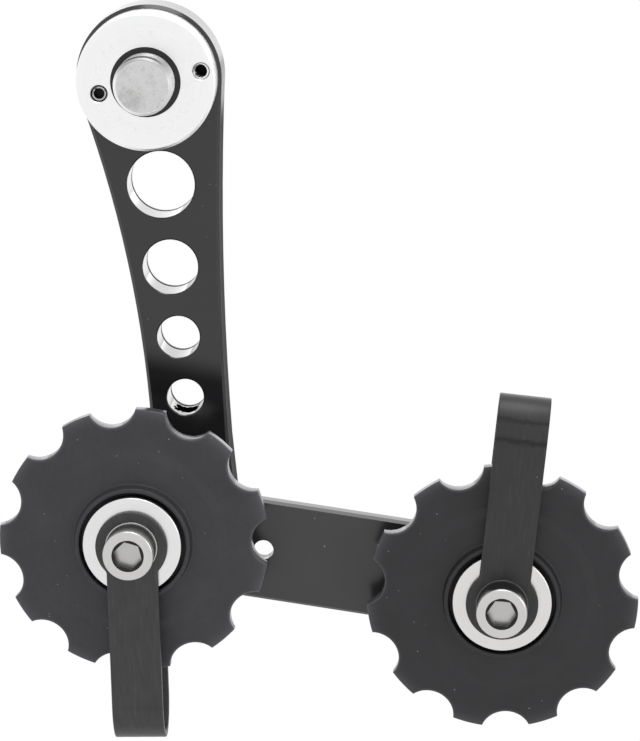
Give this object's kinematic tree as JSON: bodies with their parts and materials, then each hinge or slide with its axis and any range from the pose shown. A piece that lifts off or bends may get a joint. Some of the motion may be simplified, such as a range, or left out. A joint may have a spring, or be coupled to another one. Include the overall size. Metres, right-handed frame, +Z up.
{
  "type": "bicycle chain tensioner",
  "caption": "Sprung chain tensioner for a hub-gear bicycle: a tapered arm with lightening holes hangs from a threaded stud and carries a sprung cage with toothed pulleys and chain clips.",
  "frame": {"origin": "on the axis of the hanger stud, in the plane of the base disc's face that meets the hanger", "axes": "+X towards the bicycle's rear, +Y outboard along the hanger stud's axis, +Z up, cage relaxed"},
  "size_m": [0.1023, 0.0303, 0.118],
  "materials": {
    "black_anodised": "satin black anodised, bare inside the lightening holes",
    "bright_aluminium": "fine turned",
    "bolt_steel": "zinc plated",
    "cap_steel": "satin plated",
    "bearing_steel": "ground",
    "spring_steel": "oiled",
    "dark_steel": "black oxide",
    "black_steel": "satin black",
    "black_resin": "moulded satin",
    "black_plastic": "moulded"
  },
  "bodies": {
    "base": {"hanger_bolt": "bolt_steel", "base_disc": "bright_aluminium", "bolt_sleeve": "black_plastic", "stop_screw": "dark_steel", "head_spring": "spring_steel"},
    "arm": {"tension_arm": "black_anodised", "head_bush": "black_plastic", "pivot_bush": "black_plastic"},
    "cage": {"cage_plate": "black_anodised", "pivot_axle": "bolt_steel", "pivot_circlip": "spring_steel", "cage_spring": "spring_steel", "cage_stop_pin": "bolt_steel", "guide_clip": "black_steel", "guide_bolt": "bolt_steel", "guide_front_cap": "cap_steel", "guide_rear_cap": "cap_steel", "guide_inner_race": "bearing_steel", "tension_clip": "black_steel", "tension_bolt": "bolt_steel", "tension_front_cap": "cap_steel", "tension_rear_cap": "cap_steel", "tension_inner_race": "bearing_steel"},
    "guide_pulley": {"guide_wheel": "black_resin", "guide_outer_race": "bearing_steel", "guide_balls": "bearing_steel"},
    "tension_pulley": {"tension_wheel": "black_resin", "tension_outer_race": "bearing_steel", "tension_balls": "bearing_steel"}
  },
  "joints": [
    {"name": "arm_swivel", "type": "hinge", "parent": "base", "child": "arm", "pos_m": [0, 0.01, 0], "axis": [0, 1, 0], "range_deg": [0, 25], "stiffness_Nm_per_rad": 0.8, "springref_deg": -68.75, "deforming": ["head_spring"]},
    {"name": "cage_pivot", "type": "hinge", "parent": "arm", "child": "cage", "pos_m": [0.00781, 0.01, -0.07476], "axis": [0, 1, 0], "range_deg": [0, 100], "stiffness_Nm_per_rad": 0.25, "springref_deg": -91.67, "deforming": ["cage_spring"]},
    {"name": "guide_spin", "type": "hinge", "parent": "cage", "child": "guide_pulley", "pos_m": [-0.00217, -0.00335, -0.07333], "axis": [0, 1, 0], "continuous": true},
    {"name": "tension_spin", "type": "hinge", "parent": "cage", "child": "tension_pulley", "pos_m": [0.05681, -0.00335, -0.08178], "axis": [0, 1, 0], "continuous": true}
  ]
}
